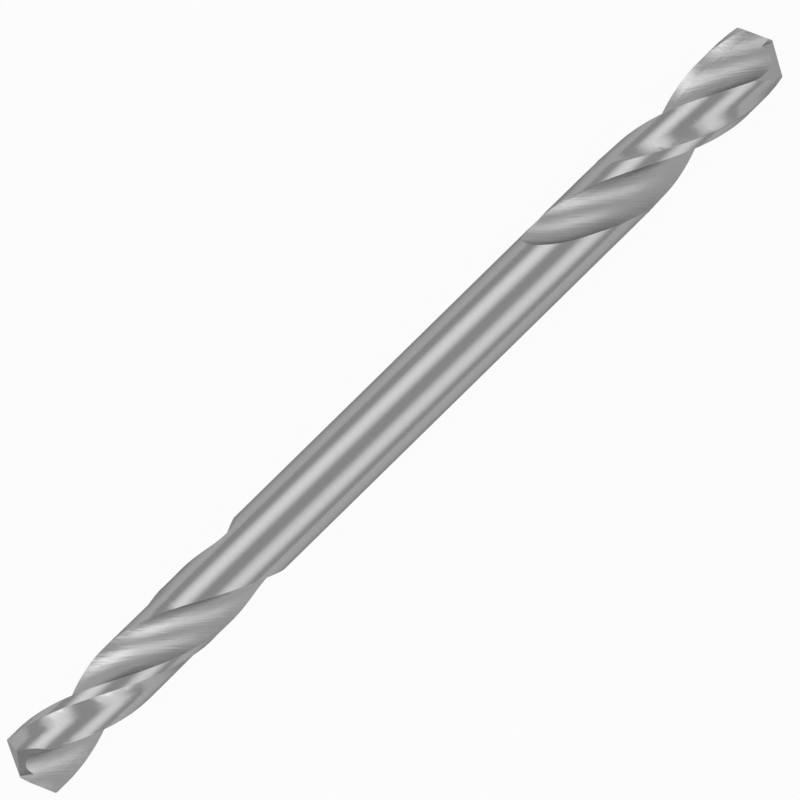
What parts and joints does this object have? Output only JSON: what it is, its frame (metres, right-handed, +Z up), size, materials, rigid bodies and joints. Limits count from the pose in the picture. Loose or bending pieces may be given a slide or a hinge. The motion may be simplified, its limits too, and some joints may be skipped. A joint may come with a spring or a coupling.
{
  "type": "double-ended drill bit",
  "caption": "Double-ended twist drill bit: a plain round shank between right-hand fluted ends with split points.",
  "frame": {"origin": "on the axis at the middle of the length", "axes": "+X along the axis, towards the end at the upper right of the picture; +Z up, towards the side that the picture shows; the two ends are turned differently about the axis, so no plane is a mirror plane"},
  "size_m": [0.0478, 0.0032, 0.0032],
  "materials": {
    "ground_steel": "bright ground high speed steel, uncoated; ground flutes, points and shank"
  },
  "bodies": {
    "root": {"drill_bit": "ground_steel"}
  },
  "joints": []
}
